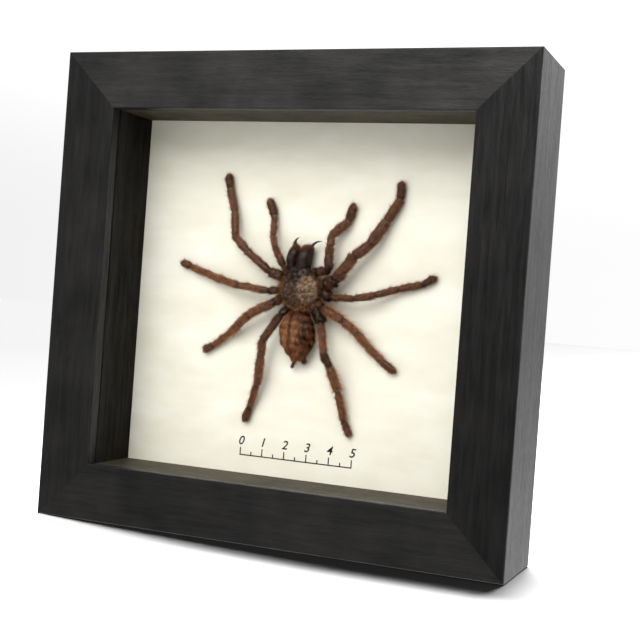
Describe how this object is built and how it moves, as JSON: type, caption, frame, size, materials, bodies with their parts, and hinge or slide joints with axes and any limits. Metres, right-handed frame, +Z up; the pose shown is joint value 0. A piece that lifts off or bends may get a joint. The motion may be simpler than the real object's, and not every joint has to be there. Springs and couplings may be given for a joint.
{
  "type": "framed tarantula specimen",
  "caption": "Dried tarantula with its legs spread on a cream card in a deep black wooden box frame with a glass front, a backing board and a sawtooth wall hanger",
  "frame": {"origin": "on the surface that the frame stands on, under the middle of its bounding box", "axes": "+X to the viewer's right along the frame's width, +Y from the glass to the back board, +Z up"},
  "size_m": [0.2, 0.0432, 0.194],
  "materials": {
    "black_wood": "satin",
    "spacer_wood": "matte",
    "glass": "polished",
    "cream_card": "matte",
    "fibreboard": "matte",
    "steel": "satin",
    "brass": "satin",
    "cuticle": "matte",
    "dark_cuticle": "satin",
    "abdomen_skin": "matte",
    "fang_horn": "gloss"
  },
  "bodies": {
    "root": {"rail_top": "black_wood", "rail_bottom": "black_wood", "rail_left": "black_wood", "rail_right": "black_wood", "glass_pane": "glass", "spacer_top": "spacer_wood", "spacer_bottom": "spacer_wood", "spacer_left": "spacer_wood", "spacer_right": "spacer_wood", "mount_card": "cream_card", "back_board": "fibreboard", "tab_bottom_1": "steel", "tab_bottom_2": "steel", "tab_left_1": "steel", "tab_left_2": "steel", "tab_top_1": "steel", "tab_top_2": "steel", "tab_right_1": "steel", "tab_right_2": "steel", "hanger_plate": "brass", "hanger_nail_left": "steel", "hanger_nail_right": "steel", "prosoma": "dark_cuticle", "abdomen": "abdomen_skin", "chelicera_left": "dark_cuticle", "chelicera_right": "dark_cuticle", "fang_left": "fang_horn", "fang_right": "fang_horn", "spinneret_left": "cuticle", "spinneret_right": "cuticle", "leg_left_1": "cuticle", "leg_left_2": "cuticle", "leg_left_3": "cuticle", "leg_left_4": "cuticle", "leg_right_1": "cuticle", "leg_right_2": "cuticle", "leg_right_3": "cuticle", "leg_right_4": "cuticle", "palp_left": "cuticle", "palp_right": "cuticle"}
  },
  "joints": []
}
